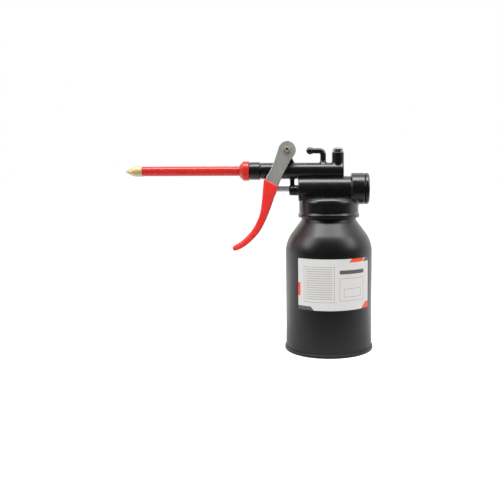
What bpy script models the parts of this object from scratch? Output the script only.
"""Pump oil can: a steel bottle with a screwed-on die-cast pump head, a squeeze lever and a rigid spout.

Units are metres. +Z is up, the bottle stands on the floor with its axis on Z, the spout points to -X,
and the pump, the rod and the spout tube all lie along X.
"""

import math

import bmesh
import bpy
from mathutils import Matrix, Vector

# Fits and drawing values
GAP = 0.0003  # air between neighbouring solids
OVERRUN = 0.001  # how far a cutter runs past what it cuts
MERGE = 0.000001
FINE_EDGE = 0.0006  # fillets up to this size are drawn as one chamfer
BROAD_EDGE = 0.0030  # fillets from this size on are drawn twice as fine
SIDES_LARGE = 40
SIDES_MEDIUM = 24
SIDES_SMALL = 16
FILLET_STEPS = 2
BALL_SIDES = 12
HEX_SIDES = 6

# Bottle: drawn steel sheet
BOTTLE_HEIGHT = 0.1012  # floor to mouth
BOTTLE_RADIUS = 0.0305
BOTTLE_WALL = 0.0006
SHOULDER_RADIUS = 0.0230
SHOULDER_SLOPE = math.radians(37)
NECK_RADIUS = 0.0191
NECK_FILLET = 0.0030
NECK_HEIGHT = 0.0080
THREAD_DEPTH = 0.0004  # the plain core of the neck is this much smaller inside the collar
NECK_SHOW = 0.0028  # plain neck below the threaded stretch

# Bottle base: pressed disc, seamed round the foot of the shell
BASE_SHEET = 0.0006
SEAM_WIDTH = 0.0010  # how far the seam stands out of the shell
SEAM_HEIGHT = 0.0025
SEAM_UPSTAND = 0.0018
BASE_GROOVE_WIDTH = 0.0016
BASE_GROOVE_DEPTH = 0.0005

# Neck gasket
GASKET_THICKNESS = 0.0016
GASKET_WIDTH = 0.0026

# Collar of the head casting
COLLAR_WALL = 0.0014
COLLAR_DEPTH = 0.0142  # top of the collar to its lower edge
COLLAR_ROOF = 0.0047
COLLAR_EDGE = 0.0038
COLLAR_RIM_WIDTH = 0.0007
COLLAR_RIM_HEIGHT = 0.0030
RIM_EDGE = 0.0006

# Pump barrel of the head casting, along X
PUMP_RISE = 0.0057  # collar top to pump axis
BARREL_RADIUS = 0.0088
BARREL_FRONT = -0.0213
BARREL_EDGE = 0.0004
PUMP_BORE = 0.0060
FRONT_WALL = 0.0022
PEDESTAL_WIDTH = 0.0156
PEDESTAL_FRONT_STEPS = 7
PEDESTAL_SEAT = 0.0042  # how far the pedestal reaches down into the collar

# Spring housing at the rear of the barrel
HOUSING_RADIUS = 0.0110
HOUSING_FRONT = 0.0156
HOUSING_LENGTH = 0.0093
HOUSING_EDGE = 0.0005
HOUSING_BORE = 0.0080
HOUSING_BORE_DEPTH = 0.0083
SEAL_SEAT_RADIUS = 0.0095
SEAL_SEAT_DEPTH = 0.0017

# Rear cap and its seal
CAP_THICKNESS = 0.0028
CAP_EDGE = 0.0013
CAP_PLUG_LENGTH = 0.0058
CAP_CUP_WALL = 0.0016
CAP_SLOT_WIDTH = 0.0018
CAP_SLOT_DEPTH = 0.0010
CAP_SLOT_LENGTH = 0.0130
SEAL_SECTION_SIDES = 6

# Gland: boss in front of the barrel, packing and washer behind its wall
GLAND_RADIUS = 0.0037
GLAND_DROP = 0.0010  # its boss hangs this much below the pump axis
GLAND_LENGTH = 0.0065
GLAND_EDGE = 0.0010
GLAND_WEB_START = 0.0007  # behind the gland's front face
GLAND_WEB_LENGTH = 0.0031
GLAND_WEB_WIDTH = 0.0034
PACKING_RADIUS = 0.0036
PACKING_LENGTH = 0.0018
WASHER_RADIUS = 0.0048
WASHER_THICKNESS = 0.0007

# Upper tube of the head casting, along X
TUBE_RISE = 0.0125  # pump axis to tube axis
TUBE_RADIUS = 0.0057
TUBE_FRONT = -0.0477
TUBE_REAR = 0.01035
TUBE_EDGE = 0.0004
DELIVERY_BORE = 0.0019
SPIGOT_RADIUS = 0.0042
SPIGOT_LENGTH = 0.0048

# Valve tower, on the vertical line of both valves
VALVE_X = 0.0064
TOWER_RADIUS = 0.00425
TOWER_RISE = 0.0130  # tube axis to tower top
TOWER_EDGE = 0.0003
PORT_RADIUS = 0.0013
OUTLET_CHAMBER_RADIUS = 0.0026
OUTLET_SEAT_DROP = 0.0038  # tube axis down to the outlet seat
OUTLET_BALL_RADIUS = 0.0019

# Plug and washer on the tower
PLUG_RADIUS = 0.0037
PLUG_RIM = 0.0009
PLUG_DOME = 0.0015
PLUG_STEM_RADIUS = 0.0023
PLUG_STEM_LENGTH = 0.0040
PLUG_WASHER_RADIUS = 0.0038
PLUG_WASHER_THICKNESS = 0.0005

# Inlet valve below the pump
INLET_BOSS_RADIUS = 0.0050
INLET_BOSS_LENGTH = 0.0040
INLET_BORE_RADIUS = 0.0033
INLET_BORE_TOP = 0.0018  # end of the inlet bore above the collar's ceiling
INLET_HEX_RADIUS = 0.0046
INLET_HEX_HEIGHT = 0.0025
INLET_CHAMBER_RADIUS = 0.0022
INLET_SEAT_RADIUS = 0.0010
INLET_SEAT_DEPTH = 0.0049  # top of the fitting down to its seat
INLET_BALL_RADIUS = 0.0017
NIPPLE_RADIUS = 0.0018
NIPPLE_LENGTH = 0.0086

# Suction tube
SUCTION_RADIUS = 0.0030
SUCTION_WALL = 0.0009
SUCTION_FOOT = 0.0040  # floor to the longest point of its slanted end
SUCTION_SLANT = math.radians(40)

# Piston, seal and rod
PISTON_STANDOFF = 0.0008  # behind the gland washer
PISTON_LENGTH = 0.0075
PISTON_SKIRT_GAP = 0.0005  # between piston and bore, which the seal bridges
PISTON_GROOVE_START = 0.0024
PISTON_GROOVE_LENGTH = 0.0026
PISTON_GROOVE_DEPTH = 0.0013
ROD_RADIUS = 0.0019
ROD_SEAT = 0.0048  # length of the rod inside the piston
ROD_REST_GAP = 0.0004  # between the rod's round end and the lever

# Springs
RETURN_SPRING_RADIUS = 0.0044
RETURN_SPRING_WIRE = 0.0005
RETURN_SPRING_TURNS = 7
OUTLET_SPRING_RADIUS = 0.0015
OUTLET_SPRING_WIRE = 0.00025
OUTLET_SPRING_TURNS = 4
POINTS_PER_TURN = 8

# Lug and rivet that carry the lever
PIVOT_X = -0.0289
PIVOT_RISE = 0.0147  # tube axis to pivot
LUG_BOSS_RADIUS = 0.0046
LUG_THICKNESS = 0.0052
LUG_FOOT_FRONT = -0.0066  # lug foot on the tube, from the pivot
LUG_FOOT_REAR = 0.0052
LUG_REAR_TOP = (0.0021, -0.0030)  # upper end of its rear edge, inside the boss, from the pivot
LUG_TOE = 0.0052  # height of the lug's foot line above the tube axis
RIVET_RADIUS = 0.00185
RIVET_BORE = 0.00140
RIVET_BORE_DEPTH = 0.0045
RIVET_HEAD_RADIUS = 0.0025
RIVET_HEAD_THICKNESS = 0.0006
RIVET_HEAD_EDGE = 0.0003

# Hook on the tube, cast with it
HOOK_X = -0.00395
HOOK_POST_RADIUS = 0.0021
HOOK_ARM_RADIUS = 0.0019
HOOK_ARM_RISE = 0.0138  # tube axis to the arm's centre line
HOOK_BEND = 0.0025
HOOK_REACH = 0.00915  # post to the centre of the ball
HOOK_BALL_RADIUS = 0.0026
HOOK_FLARE = 0.0008  # fillet round its foot

# Spout joint: sleeve, nut and seal
SLEEVE_RADIUS = 0.00618
SLEEVE_LENGTH = 0.0071
SLEEVE_EDGE = 0.0004
SLEEVE_NOSE_RADIUS = 0.0050
SLEEVE_NOSE_LENGTH = 0.0028
SPOUT_SEAL_LENGTH = 0.0014
NUT_RADIUS = 0.0068
NUT_RIM_LENGTH = 0.0041
NUT_CONE_LENGTH = 0.0026
NUT_FACE_RADIUS = 0.0043
NUT_EDGE = 0.0004

# Spout tube and nozzle tip
SPOUT_RADIUS = 0.00335
SPOUT_BORE = 0.0019
SPOUT_FRONT = -0.1298
TIP_RADIUS = 0.0036
TIP_BODY_LENGTH = 0.0052
TIP_CONE_LENGTH = 0.0062
TIP_POINT_RADIUS = 0.0009
TIP_CONE_SWELL = 0.0001
TIP_BORE = 0.0004
TIP_STEM_LENGTH = 0.0050
TIP_SLIT_WIDTH = 0.00045
TIP_SLIT_DEPTH = 0.0052
TIP_SLIT_HOLE = 0.0006
TIP_EDGE = 0.0003

# Lever: pressed steel channel with a dipped grip
LEVER_SHEET = 0.0013
LEVER_END_RADIUS = 0.0059
LEVER_END_START = math.radians(12)
LEVER_END_STEPS = 8
LEVER_SLANT = math.radians(24)  # of the lever's upper arm from the vertical
LEVER_CORNER = 0.0020
LEVER_UPPER_CORNER = 0.0004
WEB_TRIM = 0.0001  # how far the cut that ends the channel's web bites into each cheek
GRIP_COAT = 0.0005
GRIP_DROP = 0.0500  # end of the bare steel to the grip's tip, vertically
GRIP_TIP_WIDTH = 0.0084

# Upper arm of the lever, from the pivot to the start of the grip: front and rear edge as
# (forward, down) shares of the height between the pivot and the grip
ARM_SHARES = (
    ((0.345, 0.155), (-0.099, 0.358)),
    ((0.434, 0.420), (0.038, 0.618)),
    ((0.538, 0.665), (0.165, 0.849)),
    ((0.613, 0.795), (0.217, 0.948)),
    ((0.679, 0.882), (0.264, 1.052)),
    ((0.729, 1.000), (0.330, 1.217)),
)
# Grip below it: front and rear edge as (forward, down) shares of the grip's drop, from the
# pivot's vertical line and the start of the grip, then the width as a share of the way to the tip
GRIP_SHARES = (
    ((0.323, 0.098), (0.169, 0.151), 0.00),
    ((0.335, 0.229), (0.214, 0.252), 0.08),
    ((0.348, 0.338), (0.246, 0.350), 0.20),
    ((0.369, 0.453), (0.288, 0.461), 0.37),
    ((0.413, 0.566), (0.339, 0.584), 0.54),
    ((0.468, 0.668), (0.396, 0.694), 0.69),
    ((0.542, 0.763), (0.468, 0.791), 0.81),
    ((0.619, 0.837), (0.557, 0.875), 0.90),
    ((0.685, 0.892), (0.645, 0.938), 0.96),
    ((0.765, 0.933), (0.750, 0.983), 1.00),
)

# Places worked out from the sizes above
GASKET_BOTTOM = BOTTLE_HEIGHT + GAP
CEILING = GASKET_BOTTOM + GASKET_THICKNESS + GAP
COLLAR_TOP = CEILING + COLLAR_ROOF
COLLAR_BOTTOM = COLLAR_TOP - COLLAR_DEPTH
COLLAR_BORE = NECK_RADIUS + GAP
COLLAR_RADIUS = COLLAR_BORE + COLLAR_WALL
PUMP_Z = COLLAR_TOP + PUMP_RISE
TUBE_Z = PUMP_Z + TUBE_RISE
PIVOT_Z = TUBE_Z + PIVOT_RISE
HOUSING_REAR = HOUSING_FRONT + HOUSING_LENGTH
GLAND_FRONT = BARREL_FRONT - GLAND_LENGTH
ROD_BORE = ROD_RADIUS + GAP
WASHER_FRONT = BARREL_FRONT + FRONT_WALL + GAP
PISTON_FRONT = WASHER_FRONT + WASHER_THICKNESS + PISTON_STANDOFF
PISTON_REAR = PISTON_FRONT + PISTON_LENGTH
PISTON_RADIUS = PUMP_BORE - PISTON_SKIRT_GAP
CAP_FRONT = HOUSING_REAR + GAP
CAP_PLUG_RADIUS = HOUSING_BORE - GAP
CAP_CUP_RADIUS = CAP_PLUG_RADIUS - CAP_CUP_WALL
TOWER_TOP = TUBE_Z + TOWER_RISE
PLUG_BOTTOM = TOWER_TOP + PLUG_WASHER_THICKNESS + 2 * GAP
OUTLET_SEAT = TUBE_Z - OUTLET_SEAT_DROP
OUTLET_BALL_Z = OUTLET_SEAT + math.sqrt((OUTLET_BALL_RADIUS + GAP / 2) ** 2 - PORT_RADIUS**2)
INLET_TOP = CEILING + INLET_BORE_TOP - GAP
INLET_SEAT = INLET_TOP - INLET_SEAT_DEPTH
INLET_BALL_Z = INLET_SEAT + math.sqrt((INLET_BALL_RADIUS + GAP / 2) ** 2 - INLET_SEAT_RADIUS**2)
INLET_HEX_TOP = CEILING - INLET_BOSS_LENGTH - GAP
INLET_HEX_BOTTOM = INLET_HEX_TOP - INLET_HEX_HEIGHT
SLEEVE_REAR = TUBE_FRONT - GAP
SLEEVE_FRONT = SLEEVE_REAR - SLEEVE_LENGTH
NOSE_FRONT = SLEEVE_FRONT - SLEEVE_NOSE_LENGTH
NUT_REAR = SLEEVE_FRONT - GAP
NUT_SHOULDER = NUT_REAR - NUT_RIM_LENGTH
NUT_FRONT = NUT_SHOULDER - NUT_CONE_LENGTH
SPOUT_SLIP = SPOUT_RADIUS + GAP
SPOUT_REAR = SLEEVE_FRONT + SPOUT_SEAL_LENGTH
TIP_REAR = SPOUT_FRONT - GAP
TIP_SHOULDER = TIP_REAR - TIP_BODY_LENGTH
TIP_POINT = TIP_SHOULDER - TIP_CONE_LENGTH
LEVER_HALF_WIDTH = TUBE_RADIUS + GAP + LEVER_SHEET
COAT_STEP = GRIP_COAT + GAP  # steel surface to the outside of the coat
GRIP_START = TUBE_Z - TUBE_RADIUS - COAT_STEP


def new_collection(name, hidden=False):
    collection = bpy.data.collections.new(name)
    collection.hide_render = hidden
    bpy.context.scene.collection.children.link(collection)
    return collection


def new_material(name, color, roughness, metallic=0.0):
    material = bpy.data.materials.new(name)
    material.use_nodes = True
    shader = material.node_tree.nodes["Principled BSDF"]
    shader.inputs["Base Color"].default_value = (*color, 1.0)
    shader.inputs["Roughness"].default_value = roughness
    shader.inputs["Metallic"].default_value = metallic
    material.diffuse_color = (*color, 1.0)
    return material


def add_object(name, data, material=None):
    """Link new data as a sub-part, or as a tool body when it has no material."""
    obj = bpy.data.objects.new(name, data)
    if material is None:
        obj.display_type = "WIRE"
        obj.hide_render = True
        TOOLS.objects.link(obj)
    else:
        data.materials.append(material)
        PARTS.objects.link(obj)
    return obj


def filleted(corners, fine=FINE_EDGE):
    """Outline through (x, y, fillet radius) corners, with a fine fillet drawn as a chamfer."""
    outline = []
    for i, (x, y, radius) in enumerate(corners):
        corner = Vector((x, y))
        if not radius:
            outline.append(corner)
            continue
        back = (Vector(corners[i - 1][:2]) - corner).normalized()
        ahead = (Vector(corners[(i + 1) % len(corners)][:2]) - corner).normalized()
        half = back.angle(ahead) / 2
        centre = corner + (back + ahead).normalized() * (radius / math.sin(half))
        start = (corner + back * (radius / math.tan(half)) - centre).normalized()
        end = (corner + ahead * (radius / math.tan(half)) - centre).normalized()
        steps = 1 if radius <= fine else FILLET_STEPS
        steps *= 2 if radius >= BROAD_EDGE else 1
        outline += [centre + start.slerp(end, k / steps) * radius for k in range(steps + 1)]
    return outline


def arc(x, y, radius, start, end, steps):
    """Plain corners along an arc, from angle start to angle end."""
    angles = [start + (end - start) * k / steps for k in range(steps + 1)]
    return [(x + radius * math.cos(a), y + radius * math.sin(a), 0) for a in angles]


def ball_profile(radius):
    half = arc(0, 0, radius, math.pi / 2, -math.pi / 2, 6)
    return [(0, radius, 0)] + half[1:-1] + [(0, -radius, 0)]


TURN_TO = {"X": (0, math.pi / 2, 0), "Y": (-math.pi / 2, 0, 0), "Z": (0, 0, 0)}


def turned(name, corners, sides, material=None, axis="Z", at=(0, 0, 0)):
    """Body of revolution from (radius, place along the axis, fillet) corners.

    A profile that starts and ends on the axis is solid, and any other is a closed ring section.
    """
    outline = filleted(corners)
    following = outline[1:] + outline[:1]
    if sum(a.x * b.y - b.x * a.y for a, b in zip(outline, following)) > 0:
        outline.reverse()
    edges = [(i, i + 1) for i in range(len(outline) - 1)]
    if outline[0].x > 0:
        edges.append((len(outline) - 1, 0))
    mesh = bpy.data.meshes.new(name)
    mesh.from_pydata([(p.x, 0, p.y) for p in outline], edges, [])
    obj = add_object(name, mesh, material)
    obj.location = at
    obj.rotation_euler = TURN_TO[axis]
    screw = obj.modifiers.new("turn", "SCREW")
    screw.steps = sides
    screw.render_steps = sides
    screw.use_merge_vertices = True
    screw.merge_threshold = MERGE
    return obj


def cylinder(name, radius, low, high, sides, material=None, axis="Z", at=(0, 0, 0)):
    profile = ((0, high, 0), (radius, high, 0), (radius, low, 0), (0, low, 0))
    return turned(name, profile, sides, material, axis, at)


def block(name, low, high, material=None):
    """Box between two corners."""
    bm = bmesh.new()
    bmesh.ops.create_cube(bm, size=1)
    size = [b - a for a, b in zip(low, high)]
    bmesh.ops.scale(bm, vec=size, verts=bm.verts)
    mesh = bpy.data.meshes.new(name)
    bm.to_mesh(mesh)
    bm.free()
    obj = add_object(name, mesh, material)
    obj.location = [(a + b) / 2 for a, b in zip(low, high)]
    return obj


def plate(name, outline, low, high, axis="Z"):
    """Flat outline, extruded between two places along Z, or along Y with the outline read as (x, z)."""
    bm = bmesh.new()
    base = [bm.verts.new((p.x, p.y, low)) for p in outline]
    face = bm.faces.new(base)
    risen = bmesh.ops.extrude_face_region(bm, geom=[face])["geom"]
    bmesh.ops.translate(
        bm, vec=(0, 0, high - low), verts=[v for v in risen if isinstance(v, bmesh.types.BMVert)]
    )
    bmesh.ops.recalc_face_normals(bm, faces=bm.faces)
    mesh = bpy.data.meshes.new(name)
    bm.to_mesh(mesh)
    bm.free()
    obj = add_object(name, mesh)
    if axis == "Y":
        obj.rotation_euler = (math.pi / 2, 0, 0)
    return obj


def combine(target, tools, operation):
    """Join the tool bodies to the target, or cut them from it, all in one Boolean."""
    group = bpy.data.collections.new(f"{target.name}_{operation.lower()}")
    TOOLS.children.link(group)
    for tool in tools:
        TOOLS.objects.unlink(tool)
        group.objects.link(tool)
    boolean = target.modifiers.new(group.name, "BOOLEAN")
    boolean.operation = operation
    boolean.solver = "EXACT"
    boolean.operand_type = "COLLECTION"
    boolean.collection = group


def coil(name, material, radius, wire, turns, low, high, axis="Z", at=(0, 0, 0)):
    """Compression spring whose wire runs between two places along its axis."""
    curve = bpy.data.curves.new(name, "CURVE")
    curve.dimensions = "3D"
    curve.bevel_depth = wire
    curve.bevel_resolution = 1
    curve.use_fill_caps = True
    spline = curve.splines.new("POLY")
    count = turns * POINTS_PER_TURN
    spline.points.add(count)
    span = high - low - 2 * wire
    for i, point in enumerate(spline.points):
        angle = 2 * math.pi * i / POINTS_PER_TURN
        along = low + wire + span * i / count
        point.co = (radius * math.cos(angle), radius * math.sin(angle), along, 1)
    obj = add_object(name, curve, material)
    obj.location = at
    obj.rotation_euler = TURN_TO[axis]
    return obj


def bottle_side(inset, fillet_steps, shoulder_steps):
    """Side of the bottle from mouth to foot: the outside, or a surface inset from it."""
    arc_x = BOTTLE_RADIUS - SHOULDER_RADIUS
    fillet_x = NECK_RADIUS + NECK_FILLET
    across, up = math.cos(SHOULDER_SLOPE), math.sin(SHOULDER_SLOPE)
    cone = (arc_x + (SHOULDER_RADIUS + NECK_FILLET) * across - fillet_x) / up
    rise = (SHOULDER_RADIUS + NECK_FILLET) * up + cone * across
    neck_base = BOTTLE_HEIGHT - NECK_HEIGHT
    body_top = neck_base - rise
    thread_foot = COLLAR_BOTTOM + NECK_SHOW - THREAD_DEPTH
    core = NECK_RADIUS - THREAD_DEPTH - inset
    side = [(core, BOTTLE_HEIGHT, 0), (core, thread_foot + THREAD_DEPTH, 0)]
    side.append((NECK_RADIUS - inset, thread_foot, 0))
    fillet = NECK_FILLET + inset
    side += arc(fillet_x, neck_base, fillet, math.pi, math.pi + SHOULDER_SLOPE, fillet_steps)
    side += arc(arc_x, body_top, SHOULDER_RADIUS - inset, SHOULDER_SLOPE, 0, shoulder_steps)
    side.append((BOTTLE_RADIUS - inset, BASE_SHEET + GAP, 0))
    return side


def make_bottle():
    outside = bottle_side(0, 3, 5)
    inside = bottle_side(BOTTLE_WALL, 2, 4)
    turned("bottle_shell", outside + inside[::-1], SIDES_LARGE, PAINT)

    rim = BOTTLE_RADIUS + SEAM_WIDTH
    upstand = BOTTLE_RADIUS - BOTTLE_WALL - GAP
    groove_out = upstand - BASE_SHEET
    groove_in = groove_out - BASE_GROOVE_WIDTH
    edge = BASE_SHEET / 2
    profile = [
        (0, BASE_SHEET, 0),
        (groove_in - BASE_SHEET, BASE_SHEET, 0),
        (groove_in, BASE_SHEET + BASE_GROOVE_DEPTH, 0),
        (groove_out, BASE_SHEET + BASE_GROOVE_DEPTH, 0),
        (groove_out, SEAM_UPSTAND, 0),
        (upstand, SEAM_UPSTAND, 0),
        (upstand, BASE_SHEET, 0),
        (BOTTLE_RADIUS + GAP, BASE_SHEET, 0),
        (BOTTLE_RADIUS + GAP, SEAM_HEIGHT, 0),
        (rim, SEAM_HEIGHT, edge),
        (rim, 0, edge),
        (groove_out, 0, 0),
        (groove_out - BASE_GROOVE_DEPTH, BASE_GROOVE_DEPTH, 0),
        (groove_in + BASE_GROOVE_DEPTH, BASE_GROOVE_DEPTH, 0),
        (groove_in, 0, 0),
        (0, 0, 0),
    ]
    turned("bottle_base", profile, SIDES_LARGE, PAINT)


def make_gasket():
    outer = NECK_RADIUS
    inner = outer - GASKET_WIDTH
    low, high = GASKET_BOTTOM, GASKET_BOTTOM + GASKET_THICKNESS
    profile = ((outer, high, 0), (outer, low, 0), (inner, low, 0), (inner, high, 0))
    turned("neck_gasket", profile, SIDES_LARGE, RUBBER)


def collar_profile():
    rim = COLLAR_RADIUS + COLLAR_RIM_WIDTH
    rim_top = COLLAR_BOTTOM + COLLAR_RIM_HEIGHT
    return (
        (0, COLLAR_TOP, 0),
        (COLLAR_RADIUS, COLLAR_TOP, COLLAR_EDGE),
        (COLLAR_RADIUS, rim_top, RIM_EDGE),
        (rim, rim_top - COLLAR_RIM_WIDTH, RIM_EDGE),
        (rim, COLLAR_BOTTOM, RIM_EDGE),
        (0, COLLAR_BOTTOM, 0),
    )


def pedestal_outline():
    """Plan of the block between barrel and collar: its front follows the collar's round side."""
    half = PEDESTAL_WIDTH / 2
    radius = COLLAR_RADIUS - GAP / 2
    spread = math.asin(half / radius)
    front = arc(0, 0, radius, math.pi + spread, math.pi - spread, PEDESTAL_FRONT_STEPS)
    rear = HOUSING_FRONT + HOUSING_EDGE + OVERRUN
    return filleted(front + [(rear, half, 0), (rear, -half, 0)])


def head_bodies():
    """Solids that are cast together with the collar, as tool bodies."""
    barrel = turned(
        "barrel_body",
        (
            (0, HOUSING_REAR, 0),
            (HOUSING_RADIUS, HOUSING_REAR, HOUSING_EDGE),
            (HOUSING_RADIUS, HOUSING_FRONT, HOUSING_EDGE),
            (BARREL_RADIUS, HOUSING_FRONT, 0),
            (BARREL_RADIUS, BARREL_FRONT, BARREL_EDGE),
            (0, BARREL_FRONT, 0),
        ),
        SIDES_MEDIUM,
        axis="X",
        at=(0, 0, PUMP_Z),
    )
    gland = turned(
        "gland_body",
        (
            (0, BARREL_FRONT + OVERRUN, 0),
            (GLAND_RADIUS, BARREL_FRONT + OVERRUN, 0),
            (GLAND_RADIUS, GLAND_FRONT, GLAND_EDGE),
            (0, GLAND_FRONT, 0),
        ),
        SIDES_SMALL,
        axis="X",
        at=(0, 0, PUMP_Z - GLAND_DROP),
    )
    tube = turned(
        "tube_body",
        (
            (0, TUBE_REAR, 0),
            (TUBE_RADIUS, TUBE_REAR, TUBE_EDGE),
            (TUBE_RADIUS, TUBE_FRONT, TUBE_EDGE),
            (SPIGOT_RADIUS, TUBE_FRONT, 0),
            (SPIGOT_RADIUS, TUBE_FRONT - SPIGOT_LENGTH, GAP),
            (0, TUBE_FRONT - SPIGOT_LENGTH, 0),
        ),
        SIDES_MEDIUM,
        axis="X",
        at=(0, 0, TUBE_Z),
    )
    tower = turned(
        "tower_body",
        (
            (0, TOWER_TOP, 0),
            (TOWER_RADIUS, TOWER_TOP, TOWER_EDGE),
            (TOWER_RADIUS, TUBE_Z, 0),
            (0, TUBE_Z, 0),
        ),
        SIDES_SMALL,
        at=(VALVE_X, 0, 0),
    )
    pedestal = plate("pedestal_body", pedestal_outline(), COLLAR_TOP - PEDESTAL_SEAT, PUMP_Z)
    web_front = GLAND_FRONT + GLAND_WEB_START
    web = block(
        "gland_web_body",
        (web_front, -GLAND_WEB_WIDTH / 2, PUMP_Z),
        (web_front + GLAND_WEB_LENGTH, GLAND_WEB_WIDTH / 2, TUBE_Z - TUBE_RADIUS / 2),
    )
    boss = LUG_BOSS_RADIUS
    toe = TUBE_Z + LUG_TOE
    lug = plate(
        "lug_body",
        filleted(
            (
                (PIVOT_X + LUG_FOOT_FRONT, TUBE_Z, 0),
                (PIVOT_X + LUG_FOOT_FRONT, toe, 0),
                (PIVOT_X - boss * math.cos(LEVER_SLANT), PIVOT_Z, 0),
                (PIVOT_X + LUG_REAR_TOP[0], PIVOT_Z + LUG_REAR_TOP[1], 0),
                (PIVOT_X + LUG_FOOT_REAR, toe, 0),
                (PIVOT_X + LUG_FOOT_REAR, TUBE_Z, 0),
            )
        ),
        -LUG_THICKNESS / 2,
        LUG_THICKNESS / 2,
        axis="Y",
    )
    lug_boss = cylinder(
        "lug_boss_body",
        LUG_BOSS_RADIUS,
        -TUBE_RADIUS,
        TUBE_RADIUS,
        SIDES_SMALL,
        axis="Y",
        at=(PIVOT_X, 0, PIVOT_Z),
    )
    return [barrel, gland, pedestal, tube, web, tower, lug, lug_boss]


def head_cuts():
    """Bores of the head casting, and the recess of its collar round the boss of the inlet."""
    recess = cylinder("collar_cut", COLLAR_BORE, COLLAR_BOTTOM - OVERRUN, CEILING, SIDES_LARGE)
    boss = cylinder(
        "inlet_boss_body",
        INLET_BOSS_RADIUS,
        CEILING - INLET_BOSS_LENGTH,
        CEILING + OVERRUN,
        SIDES_SMALL,
        at=(VALVE_X, 0, 0),
    )
    combine(recess, [boss], "DIFFERENCE")
    inlet = turned(
        "inlet_cut",
        (
            (0, PUMP_Z, 0),
            (PORT_RADIUS, PUMP_Z, 0),
            (PORT_RADIUS, CEILING + INLET_BORE_TOP, 0),
            (INLET_BORE_RADIUS, CEILING + INLET_BORE_TOP, 0),
            (INLET_BORE_RADIUS, CEILING - INLET_BOSS_LENGTH - OVERRUN, 0),
            (0, CEILING - INLET_BOSS_LENGTH - OVERRUN, 0),
        ),
        SIDES_SMALL,
        at=(VALVE_X, 0, 0),
    )
    rear = HOUSING_REAR
    pump = turned(
        "pump_cut",
        (
            (0, rear + OVERRUN, 0),
            (SEAL_SEAT_RADIUS, rear + OVERRUN, 0),
            (SEAL_SEAT_RADIUS, rear - SEAL_SEAT_DEPTH, 0),
            (HOUSING_BORE, rear - SEAL_SEAT_DEPTH, 0),
            (HOUSING_BORE, rear - HOUSING_BORE_DEPTH, 0),
            (PUMP_BORE, rear - HOUSING_BORE_DEPTH, 0),
            (PUMP_BORE, BARREL_FRONT + FRONT_WALL, 0),
            (PACKING_RADIUS, BARREL_FRONT + FRONT_WALL, 0),
            (PACKING_RADIUS, BARREL_FRONT + FRONT_WALL - PACKING_LENGTH - GAP, 0),
            (ROD_BORE, BARREL_FRONT + FRONT_WALL - PACKING_LENGTH - GAP, 0),
            (ROD_BORE, GLAND_FRONT - OVERRUN, 0),
            (0, GLAND_FRONT - OVERRUN, 0),
        ),
        SIDES_MEDIUM,
        axis="X",
        at=(0, 0, PUMP_Z),
    )
    delivery = cylinder(
        "delivery_cut",
        DELIVERY_BORE,
        TUBE_FRONT - SPIGOT_LENGTH - OVERRUN,
        VALVE_X,
        SIDES_SMALL,
        axis="X",
        at=(0, 0, TUBE_Z),
    )
    outlet = turned(
        "outlet_cut",
        (
            (0, TOWER_TOP + OVERRUN, 0),
            (OUTLET_CHAMBER_RADIUS, TOWER_TOP + OVERRUN, 0),
            (OUTLET_CHAMBER_RADIUS, OUTLET_SEAT, 0),
            (PORT_RADIUS, OUTLET_SEAT, 0),
            (PORT_RADIUS, PUMP_Z, 0),
            (0, PUMP_Z, 0),
        ),
        SIDES_SMALL,
        at=(VALVE_X, 0, 0),
    )
    pivot_hole = cylinder(
        "pivot_cut",
        RIVET_RADIUS + GAP,
        -TUBE_RADIUS - OVERRUN,
        TUBE_RADIUS + OVERRUN,
        SIDES_SMALL,
        axis="Y",
        at=(PIVOT_X, 0, PIVOT_Z),
    )
    return [recess, inlet, pump, delivery, outlet, pivot_hole]


def make_head_casting():
    casting = turned("head_casting", collar_profile(), SIDES_LARGE, PAINT)
    combine(casting, head_bodies() + hook_bodies(), "UNION")
    casting.modifiers.new("facets", "TRIANGULATE")
    combine(casting, head_cuts(), "DIFFERENCE")


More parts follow.
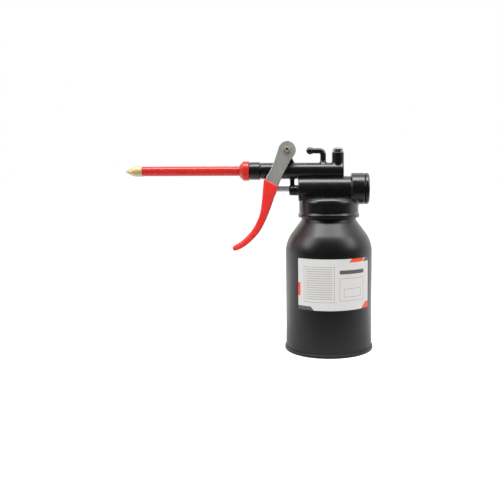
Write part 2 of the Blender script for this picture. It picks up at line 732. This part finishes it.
def make_inlet():
    """Brass fitting with the inlet seat, its ball and the suction tube that hangs on it."""
    stem = INLET_BORE_RADIUS - GAP
    fitting = turned(
        "inlet_valve",
        (
            (0, INLET_TOP, 0),
            (stem, INLET_TOP, 0),
            (stem, INLET_HEX_BOTTOM + INLET_HEX_HEIGHT / 2, 0),
            (NIPPLE_RADIUS, INLET_HEX_BOTTOM + INLET_HEX_HEIGHT / 2, 0),
            (NIPPLE_RADIUS, INLET_HEX_BOTTOM - NIPPLE_LENGTH, GAP),
            (0, INLET_HEX_BOTTOM - NIPPLE_LENGTH, 0),
        ),
        SIDES_SMALL,
        BRASS,
        at=(VALVE_X, 0, 0),
    )
    hexagon = cylinder(
        "inlet_hex_body",
        INLET_HEX_RADIUS,
        INLET_HEX_BOTTOM,
        INLET_HEX_TOP,
        HEX_SIDES,
        at=(VALVE_X, 0, 0),
    )
    bore = turned(
        "inlet_valve_cut",
        (
            (0, INLET_TOP + OVERRUN, 0),
            (INLET_CHAMBER_RADIUS, INLET_TOP + OVERRUN, 0),
            (INLET_CHAMBER_RADIUS, INLET_SEAT, 0),
            (INLET_SEAT_RADIUS, INLET_SEAT, 0),
            (INLET_SEAT_RADIUS, INLET_HEX_BOTTOM - NIPPLE_LENGTH - OVERRUN, 0),
            (0, INLET_HEX_BOTTOM - NIPPLE_LENGTH - OVERRUN, 0),
        ),
        SIDES_SMALL,
        at=(VALVE_X, 0, 0),
    )
    combine(fitting, [hexagon], "UNION")
    combine(fitting, [bore], "DIFFERENCE")

    outer, inner = SUCTION_RADIUS, SUCTION_RADIUS - SUCTION_WALL
    top = INLET_HEX_BOTTOM - GAP
    low = SUCTION_FOOT - OVERRUN
    profile = ((outer, top, 0), (outer, low, 0), (inner, low, 0), (inner, top, 0))
    tube = turned("suction_tube", profile, SIDES_SMALL, CLEAR_TUBE, at=(VALVE_X, 0, 0))
    reach = SUCTION_RADIUS + OVERRUN
    middle = SUCTION_FOOT + SUCTION_RADIUS * math.tan(SUCTION_SLANT)
    rise = reach * math.tan(SUCTION_SLANT)
    wedge = (
        (VALVE_X - reach, -OVERRUN),
        (VALVE_X + reach, -OVERRUN),
        (VALVE_X + reach, middle - rise),
        (VALVE_X - reach, middle + rise),
    )
    slant = plate("suction_cut", [Vector(p) for p in wedge], -reach, reach, axis="Y")
    combine(tube, [slant], "DIFFERENCE")
    make_ball("inlet_ball", INLET_BALL_RADIUS, INLET_BALL_Z)


def make_ball(name, radius, height):
    turned(name, ball_profile(radius), BALL_SIDES, STEEL, at=(VALVE_X, 0, height))


def make_outlet():
    """Outlet ball, its spring, and the washer and domed plug that close the tower."""
    make_ball("outlet_ball", OUTLET_BALL_RADIUS, OUTLET_BALL_Z)
    touch = OUTLET_BALL_RADIUS + OUTLET_SPRING_WIRE + GAP
    foot = OUTLET_BALL_Z + math.sqrt(touch**2 - OUTLET_SPRING_RADIUS**2) - OUTLET_SPRING_WIRE
    stem_bottom = PLUG_BOTTOM - PLUG_STEM_LENGTH
    coil(
        "outlet_spring",
        STEEL,
        OUTLET_SPRING_RADIUS,
        OUTLET_SPRING_WIRE,
        OUTLET_SPRING_TURNS,
        foot,
        stem_bottom - GAP,
        at=(VALVE_X, 0, 0),
    )
    low = TOWER_TOP + GAP
    high = low + PLUG_WASHER_THICKNESS
    inner = OUTLET_CHAMBER_RADIUS
    profile = (
        (PLUG_WASHER_RADIUS, high, 0),
        (PLUG_WASHER_RADIUS, low, 0),
        (inner, low, 0),
        (inner, high, 0),
    )
    turned("plug_washer", profile, SIDES_SMALL, RUBBER, at=(VALVE_X, 0, 0))

    rim_top = PLUG_BOTTOM + PLUG_RIM
    half = PLUG_RADIUS
    ball = (half**2 + PLUG_DOME**2) / (2 * PLUG_DOME)
    spread = math.asin(half / ball)
    centre = rim_top + PLUG_DOME - ball
    dome = arc(0, centre, ball, math.pi / 2, math.pi / 2 - spread, 5)
    profile = [(0, dome[0][1], 0)] + dome[1:]
    profile += [
        (PLUG_RADIUS, PLUG_BOTTOM, 0),
        (PLUG_STEM_RADIUS, PLUG_BOTTOM, 0),
        (PLUG_STEM_RADIUS, stem_bottom, GAP),
        (0, stem_bottom, 0),
    ]
    turned("outlet_plug", profile, SIDES_SMALL, CHROME, at=(VALVE_X, 0, 0))


def make_rear_cap():
    cap_rear = CAP_FRONT + CAP_THICKNESS
    plug_front = HOUSING_REAR - CAP_PLUG_LENGTH
    cup_floor = CAP_FRONT
    profile = (
        (0, cap_rear, 0),
        (HOUSING_RADIUS, cap_rear, CAP_EDGE),
        (HOUSING_RADIUS, CAP_FRONT, HOUSING_EDGE),
        (CAP_PLUG_RADIUS, CAP_FRONT, 0),
        (CAP_PLUG_RADIUS, plug_front, GAP),
        (CAP_CUP_RADIUS, plug_front, 0),
        (CAP_CUP_RADIUS, cup_floor, 0),
        (0, cup_floor, 0),
    )
    cap = turned("rear_cap", profile, SIDES_MEDIUM, PAINT, axis="X", at=(0, 0, PUMP_Z))
    half_length, half_width = CAP_SLOT_LENGTH / 2, CAP_SLOT_WIDTH / 2
    slot = block(
        "cap_slot_cut",
        (cap_rear - CAP_SLOT_DEPTH, -half_length, PUMP_Z - half_width),
        (cap_rear + OVERRUN, half_length, PUMP_Z + half_width),
    )
    combine(cap, [slot], "DIFFERENCE")

    section = (SEAL_SEAT_DEPTH - GAP) / 2
    middle = HOUSING_REAR - section
    seal_radius = (CAP_PLUG_RADIUS + SEAL_SEAT_RADIUS) / 2
    thick = min(section, (SEAL_SEAT_RADIUS - CAP_PLUG_RADIUS) / 2 - GAP)
    profile = arc(seal_radius, middle, thick, 0, 2 * math.pi, SEAL_SECTION_SIDES)[:-1]
    turned("rear_cap_seal", profile, SIDES_MEDIUM, RUBBER, axis="X", at=(0, 0, PUMP_Z))


def ring(name, outer, inner, low, high, material):
    """Plain ring round the pump axis."""
    profile = ((outer, high, 0), (outer, low, 0), (inner, low, 0), (inner, high, 0))
    return turned(name, profile, SIDES_SMALL, material, axis="X", at=(0, 0, PUMP_Z))


def make_gland_seal():
    rear = BARREL_FRONT + FRONT_WALL
    ring("rod_packing", PACKING_RADIUS - GAP, ROD_BORE, rear - PACKING_LENGTH, rear, RUBBER)
    washer_rear = WASHER_FRONT + WASHER_THICKNESS
    ring("packing_washer", WASHER_RADIUS, ROD_BORE, WASHER_FRONT, washer_rear, STEEL)


def make_piston():
    groove_front = PISTON_FRONT + PISTON_GROOVE_START
    groove_rear = groove_front + PISTON_GROOVE_LENGTH
    floor = PISTON_RADIUS - PISTON_GROOVE_DEPTH
    profile = (
        (0, PISTON_REAR, 0),
        (PISTON_RADIUS, PISTON_REAR, GAP),
        (PISTON_RADIUS, groove_rear, 0),
        (floor, groove_rear, 0),
        (floor, groove_front, 0),
        (PISTON_RADIUS, groove_front, 0),
        (PISTON_RADIUS, PISTON_FRONT, GAP),
        (ROD_BORE, PISTON_FRONT, 0),
        (ROD_BORE, PISTON_FRONT + ROD_SEAT + GAP, 0),
        (0, PISTON_FRONT + ROD_SEAT + GAP, 0),
    )
    turned("piston", profile, SIDES_MEDIUM, BRASS, axis="X", at=(0, 0, PUMP_Z))
    seal_low, seal_high = groove_front + GAP, groove_rear - GAP
    ring("piston_seal", PUMP_BORE - GAP, floor + GAP, seal_low, seal_high, RUBBER)

    rod_front = rod_seat_x()
    dome = arc(0, rod_front + ROD_RADIUS, ROD_RADIUS, -math.pi / 2, 0, 5)
    profile = [(0, PISTON_FRONT + ROD_SEAT, 0), (ROD_RADIUS, PISTON_FRONT + ROD_SEAT, 0)]
    profile += dome[::-1][:-1] + [(0, rod_front, 0)]
    turned("piston_rod", profile, SIDES_SMALL, STEEL, axis="X", at=(0, 0, PUMP_Z))
    coil(
        "return_spring",
        STEEL,
        RETURN_SPRING_RADIUS,
        RETURN_SPRING_WIRE,
        RETURN_SPRING_TURNS,
        PISTON_REAR + GAP,
        CAP_FRONT - GAP,
        axis="X",
        at=(0, 0, PUMP_Z),
    )


def make_rivet():
    """Semi-tubular rivet through lug and cheeks: a low head at the far side, its hollow end at the near
    side rolled over."""
    face = LEVER_HALF_WIDTH + GAP
    end = face + RIVET_HEAD_THICKNESS
    floor = RIVET_BORE_DEPTH - end
    profile = (
        (0, end, 0),
        (RIVET_HEAD_RADIUS, end, RIVET_HEAD_EDGE),
        (RIVET_HEAD_RADIUS, face, 0),
        (RIVET_RADIUS, face, 0),
        (RIVET_RADIUS, -face, 0),
        (RIVET_HEAD_RADIUS, -face, 0),
        (RIVET_HEAD_RADIUS, -end, RIVET_HEAD_EDGE),
        (RIVET_BORE, -end, 0),
        (RIVET_BORE, floor, 0),
        (0, floor, 0),
    )
    turned("pivot_rivet", profile, SIDES_SMALL, BRASS, axis="Y", at=(PIVOT_X, 0, PIVOT_Z))


def hook_bodies():
    """Bent peg on the tube, with a ball at the end of its arm, as tool bodies."""
    foot = TUBE_Z + TUBE_RADIUS - GAP
    arm = TUBE_Z + HOOK_ARM_RISE
    bend = arc(HOOK_X - HOOK_BEND, arm - HOOK_BEND, HOOK_BEND, 0, math.pi / 2, 5)
    wide = 1 + HOOK_FLARE / HOOK_POST_RADIUS
    slim = HOOK_ARM_RADIUS / HOOK_POST_RADIUS
    route = [(HOOK_X, TUBE_Z, wide), (HOOK_X, foot, wide), (HOOK_X, foot + HOOK_FLARE, 1)]
    for i, (x, z, _) in enumerate(bend):
        route.append((x, z, 1 + (slim - 1) * i / (len(bend) - 1)))
    route.append((HOOK_X - HOOK_REACH, arm, slim))
    curve = bpy.data.curves.new("hook_body", "CURVE")
    curve.dimensions = "3D"
    curve.bevel_depth = HOOK_POST_RADIUS
    curve.bevel_resolution = 4
    curve.use_fill_caps = True
    spline = curve.splines.new("POLY")
    spline.points.add(len(route) - 1)
    for point, (x, z, girth) in zip(spline.points, route):
        point.co = (x, 0, z, 1)
        point.radius = girth
    bent = bpy.data.objects.new("hook_curve", curve)
    TOOLS.objects.link(bent)
    bpy.context.view_layer.update()
    mesh = bpy.data.meshes.new_from_object(bent.evaluated_get(bpy.context.evaluated_depsgraph_get()))
    bm = bmesh.new()
    bm.from_mesh(mesh)
    bmesh.ops.remove_doubles(bm, verts=bm.verts, dist=MERGE)
    bm.to_mesh(mesh)
    bm.free()
    bpy.data.objects.remove(bent)
    peg = add_object("hook_body", mesh)
    ball_at = (HOOK_X - HOOK_REACH, 0, arm)
    ball = turned("hook_ball_body", ball_profile(HOOK_BALL_RADIUS), SIDES_SMALL, at=ball_at)
    return [peg, ball]


def make_spout():
    """Sleeve and nut that join the spout to the head, with seal, spout tube and nozzle tip."""
    slip = SPIGOT_RADIUS + GAP
    profile = (
        (SLEEVE_RADIUS, SLEEVE_REAR, SLEEVE_EDGE),
        (SLEEVE_RADIUS, SLEEVE_FRONT, SLEEVE_EDGE),
        (SLEEVE_NOSE_RADIUS, SLEEVE_FRONT, 0),
        (SLEEVE_NOSE_RADIUS, NOSE_FRONT, GAP),
        (SPOUT_SLIP, NOSE_FRONT, 0),
        (SPOUT_SLIP, TUBE_FRONT - SPIGOT_LENGTH - GAP, 0),
        (slip, TUBE_FRONT - SPIGOT_LENGTH - GAP, 0),
        (slip, SLEEVE_REAR, 0),
    )
    turned("union_sleeve", profile, SIDES_MEDIUM, PAINT, axis="X", at=(0, 0, TUBE_Z))

    socket = SLEEVE_NOSE_RADIUS + GAP
    profile = (
        (NUT_RADIUS, NUT_REAR, NUT_EDGE),
        (NUT_RADIUS, NUT_SHOULDER, NUT_EDGE),
        (NUT_FACE_RADIUS, NUT_FRONT, GAP),
        (SPOUT_SLIP, NUT_FRONT, 0),
        (SPOUT_SLIP, NOSE_FRONT - GAP, 0),
        (socket, NOSE_FRONT - GAP, 0),
        (socket, NUT_REAR, 0),
    )
    turned("spout_nut", profile, SIDES_MEDIUM, RED_PAINT, axis="X", at=(0, 0, TUBE_Z))

    seal_low = SPOUT_REAR + GAP
    seal_high = TUBE_FRONT - SPIGOT_LENGTH - GAP
    profile = (
        (SPOUT_RADIUS, seal_high, 0),
        (SPOUT_RADIUS, seal_low, 0),
        (SPOUT_BORE, seal_low, 0),
        (SPOUT_BORE, seal_high, 0),
    )
    turned("spout_seal", profile, SIDES_SMALL, RUBBER, axis="X", at=(0, 0, TUBE_Z))

    profile = (
        (SPOUT_RADIUS, SPOUT_REAR, 0),
        (SPOUT_RADIUS, SPOUT_FRONT, 0),
        (SPOUT_BORE, SPOUT_FRONT, 0),
        (SPOUT_BORE, SPOUT_REAR, 0),
    )
    turned("spout_tube", profile, SIDES_SMALL, RED_PAINT, axis="X", at=(0, 0, TUBE_Z))

    middle = (TIP_RADIUS + TIP_POINT_RADIUS) / 2 + TIP_CONE_SWELL
    stem = SPOUT_BORE - GAP
    profile = (
        (stem, TIP_REAR + TIP_STEM_LENGTH, 0),
        (stem, TIP_REAR, 0),
        (TIP_RADIUS, TIP_REAR, TIP_EDGE),
        (TIP_RADIUS, TIP_SHOULDER, TIP_EDGE),
        (middle, TIP_SHOULDER - TIP_CONE_LENGTH / 2, 0),
        (TIP_POINT_RADIUS, TIP_POINT, TIP_EDGE),
        (TIP_BORE, TIP_POINT, 0),
        (TIP_BORE, TIP_REAR + TIP_STEM_LENGTH, 0),
    )
    tip = turned("nozzle_tip", profile, SIDES_SMALL, BRASS, axis="X", at=(0, 0, TUBE_Z))
    slit_end = TIP_POINT + TIP_SLIT_DEPTH
    reach = TIP_RADIUS + OVERRUN
    slit = block(
        "tip_slit_cut",
        (TIP_POINT - OVERRUN, -reach, TUBE_Z - TIP_SLIT_WIDTH / 2),
        (slit_end, reach, TUBE_Z + TIP_SLIT_WIDTH / 2),
    )
    hole = cylinder("tip_hole_cut", TIP_SLIT_HOLE, -reach, reach, BALL_SIDES, axis="Y", at=(slit_end, 0, TUBE_Z))
    combine(tip, [slit, hole], "DIFFERENCE")


def arm_stations():
    """Front and rear edge of the lever and its half width, from its round end down to the grip."""
    down = Vector((-math.sin(LEVER_SLANT), -math.cos(LEVER_SLANT)))
    across = Vector((math.cos(LEVER_SLANT), -math.sin(LEVER_SLANT)))
    pivot = Vector((PIVOT_X, PIVOT_Z))
    stations = []
    for step in range(LEVER_END_STEPS + 1):
        angle = LEVER_END_START + (math.pi / 2 - LEVER_END_START) * step / LEVER_END_STEPS
        centre = pivot - down * (LEVER_END_RADIUS * math.cos(angle))
        half = across * (LEVER_END_RADIUS * math.sin(angle))
        stations.append((*(centre - half), *(centre + half), LEVER_HALF_WIDTH))
    reach = PIVOT_Z - GRIP_START
    for front, rear in ARM_SHARES:
        stations.append(
            (
                PIVOT_X - front[0] * reach,
                PIVOT_Z - front[1] * reach,
                PIVOT_X - rear[0] * reach,
                PIVOT_Z - rear[1] * reach,
                LEVER_HALF_WIDTH,
            )
        )
    return stations


def grip_stations():
    """The same for the stretch of the lever that the grip covers."""
    tip_half = GRIP_TIP_WIDTH / 2 - COAT_STEP
    stations = []
    for front, rear, share in GRIP_SHARES:
        stations.append(
            (
                PIVOT_X - front[0] * GRIP_DROP,
                GRIP_START - front[1] * GRIP_DROP,
                PIVOT_X - rear[0] * GRIP_DROP,
                GRIP_START - rear[1] * GRIP_DROP,
                LEVER_HALF_WIDTH + (tip_half - LEVER_HALF_WIDTH) * share,
            )
        )
    return stations


def channel_section(station, grow, wall, corner):
    """U section of the lever in one station, grown on all outer sides, with its web at the front."""
    front = Vector((station[0], 0, station[1]))
    rear = Vector((station[2], 0, station[3]))
    along = (rear - front).normalized()
    front -= along * grow
    depth = (rear - front).length + grow
    half = station[4] + grow
    inner = half - wall
    bend = min(corner, depth / 3)
    inner_bend = min(max(bend - wall, GAP), (depth - wall) / 2)
    outline = filleted(
        (
            (depth, half, 0),
            (0, half, bend),
            (0, -half, bend),
            (depth, -half, 0),
            (depth, -inner, 0),
            (wall, -inner, inner_bend),
            (wall, inner, inner_bend),
            (depth, inner, 0),
        ),
        fine=0,
    )
    return [front + along * p.x + Vector((0, p.y, 0)) for p in outline]


def loft(name, sections, material=None):
    """Closed body through sections that all have the same number of points."""
    bm = bmesh.new()
    rings = [[bm.verts.new(p) for p in section] for section in sections]
    count = len(rings[0])
    for upper, lower in zip(rings, rings[1:]):
        for i in range(count):
            j = (i + 1) % count
            bm.faces.new((upper[i], upper[j], lower[j], lower[i]))
    bmesh.ops.triangulate(bm, faces=bm.faces)
    bm.faces.new(rings[0][::-1])
    bm.faces.new(rings[-1])
    if bm.calc_volume(signed=True) < 0:
        bmesh.ops.reverse_faces(bm, faces=bm.faces)
    mesh = bpy.data.meshes.new(name)
    bm.to_mesh(mesh)
    bm.free()
    return add_object(name, mesh, material)


def moved(station, distance):
    """The station, moved along the lever towards its tip."""
    front = Vector(station[:2])
    rear = Vector(station[2:4])
    along = (rear - front).normalized()
    step = Vector((along.y, -along.x)) * distance
    return (*(front + step), *(rear + step), station[4])


def shrunk(station, depth):
    """The station, with its front and rear edges drawn together."""
    front = Vector(station[:2])
    rear = Vector(station[2:4])
    along = (rear - front).normalized() * depth
    return (*(front + along), *(rear - along), station[4] - depth)


def lower_run():
    """Stations from the end of the bare steel to the end of the steel in the grip."""
    return [arm_stations()[-1]] + grip_stations()


def grip_wall():
    return LEVER_SHEET + 2 * GAP + 2 * GRIP_COAT


def rod_seat_x():
    """Front end of the rod: against the inside of the grip's web, at the height of the pump axis."""
    face = []
    for station in lower_run():
        front = Vector(station[:2])
        along = (Vector(station[2:4]) - front).normalized()
        face.append(front + along * (grip_wall() - COAT_STEP))
    for upper, lower in zip(face, face[1:]):
        if lower.y <= PUMP_Z <= upper.y:
            share = (upper.y - PUMP_Z) / (upper.y - lower.y)
            return upper.x + (lower.x - upper.x) * share + ROD_REST_GAP
    return face[0].x + ROD_REST_GAP


def channel(name, run, grow, wall, corners, material=None):
    """The U channel of the lever along a run of stations, grown on all its outer sides."""
    sections = [channel_section(s, grow, wall, c + grow) for s, c in zip(run, corners)]
    return loft(name, sections, material)


def make_lever():
    arm = arm_stations()
    run = lower_run()
    bends = [LEVER_UPPER_CORNER] + [LEVER_CORNER] * (len(run) + 1)
    lever_bends = [LEVER_UPPER_CORNER] * (len(arm) - 1) + bends
    lever = channel("lever", arm + run[1:], 0, LEVER_SHEET, lever_bends, SATIN_STEEL)
    bite = LEVER_HALF_WIDTH - LEVER_SHEET + WEB_TRIM
    reach = PIVOT_Z - GRIP_START + LEVER_END_RADIUS
    web_cut = block(
        "lever_web_cut",
        (PIVOT_X - reach, -bite, GRIP_START),
        (PIVOT_X + reach, bite, PIVOT_Z + LEVER_END_RADIUS + OVERRUN),
    )
    hole = cylinder(
        "lever_hole_cut",
        RIVET_RADIUS + GAP,
        -LEVER_HALF_WIDTH - OVERRUN,
        LEVER_HALF_WIDTH + OVERRUN,
        SIDES_SMALL,
        axis="Y",
        at=(PIVOT_X, 0, PIVOT_Z),
    )
    combine(lever, [web_cut, hole], "DIFFERENCE")

    end = run[-1]
    coat_run = run + [moved(end, COAT_STEP), shrunk(moved(end, 2 * COAT_STEP), GRIP_COAT)]
    grip = channel("lever_grip", coat_run, COAT_STEP, grip_wall(), bends, RED_VINYL)
    pocket_run = [moved(run[0], -OVERRUN)] + run + [moved(end, GAP)]
    pocket_bends = [LEVER_UPPER_CORNER] + bends
    pocket = channel("grip_cut", pocket_run, GAP, LEVER_SHEET + 2 * GAP, pocket_bends)
    combine(grip, [pocket], "DIFFERENCE")


def parent_to(name, place, children):
    """Put the pieces of one moving body under an empty on its joint's axis."""
    empty = bpy.data.objects.new(name, None)
    empty.location = place
    PARTS.objects.link(empty)
    for child in children:
        obj = bpy.data.objects[child]
        obj.parent = empty
        obj.matrix_parent_inverse = Matrix.Translation(place).inverted()


for old in list(bpy.data.objects):
    bpy.data.objects.remove(old)

PARTS = new_collection("pump_oil_can")
TOOLS = new_collection("tool_bodies", hidden=True)

PAINT = new_material("black_paint", (0.02, 0.02, 0.022), 0.42)
RED_PAINT = new_material("red_paint", (0.62, 0.03, 0.02), 0.28)
RED_VINYL = new_material("red_vinyl", (0.80, 0.02, 0.02), 0.45)
SATIN_STEEL = new_material("satin_steel", (0.42, 0.42, 0.41), 0.45, 0.8)
STEEL = new_material("bright_steel", (0.70, 0.70, 0.70), 0.22, 1.0)
CHROME = new_material("bright_plug", (0.82, 0.82, 0.82), 0.15, 1.0)
BRASS = new_material("brass", (0.72, 0.52, 0.25), 0.30, 1.0)
RUBBER = new_material("black_rubber", (0.03, 0.03, 0.03), 0.70)
CLEAR_TUBE = new_material("clear_tube", (0.80, 0.82, 0.80), 0.25)

make_bottle()
make_gasket()
make_head_casting()
make_inlet()
make_outlet()
make_rear_cap()
make_gland_seal()
make_piston()
make_rivet()
make_spout()
make_lever()

parent_to("lever_pivot", (PIVOT_X, 0, PIVOT_Z), ("lever", "lever_grip"))
parent_to("pump_axis", (0, 0, PUMP_Z), ("piston", "piston_seal", "piston_rod"))
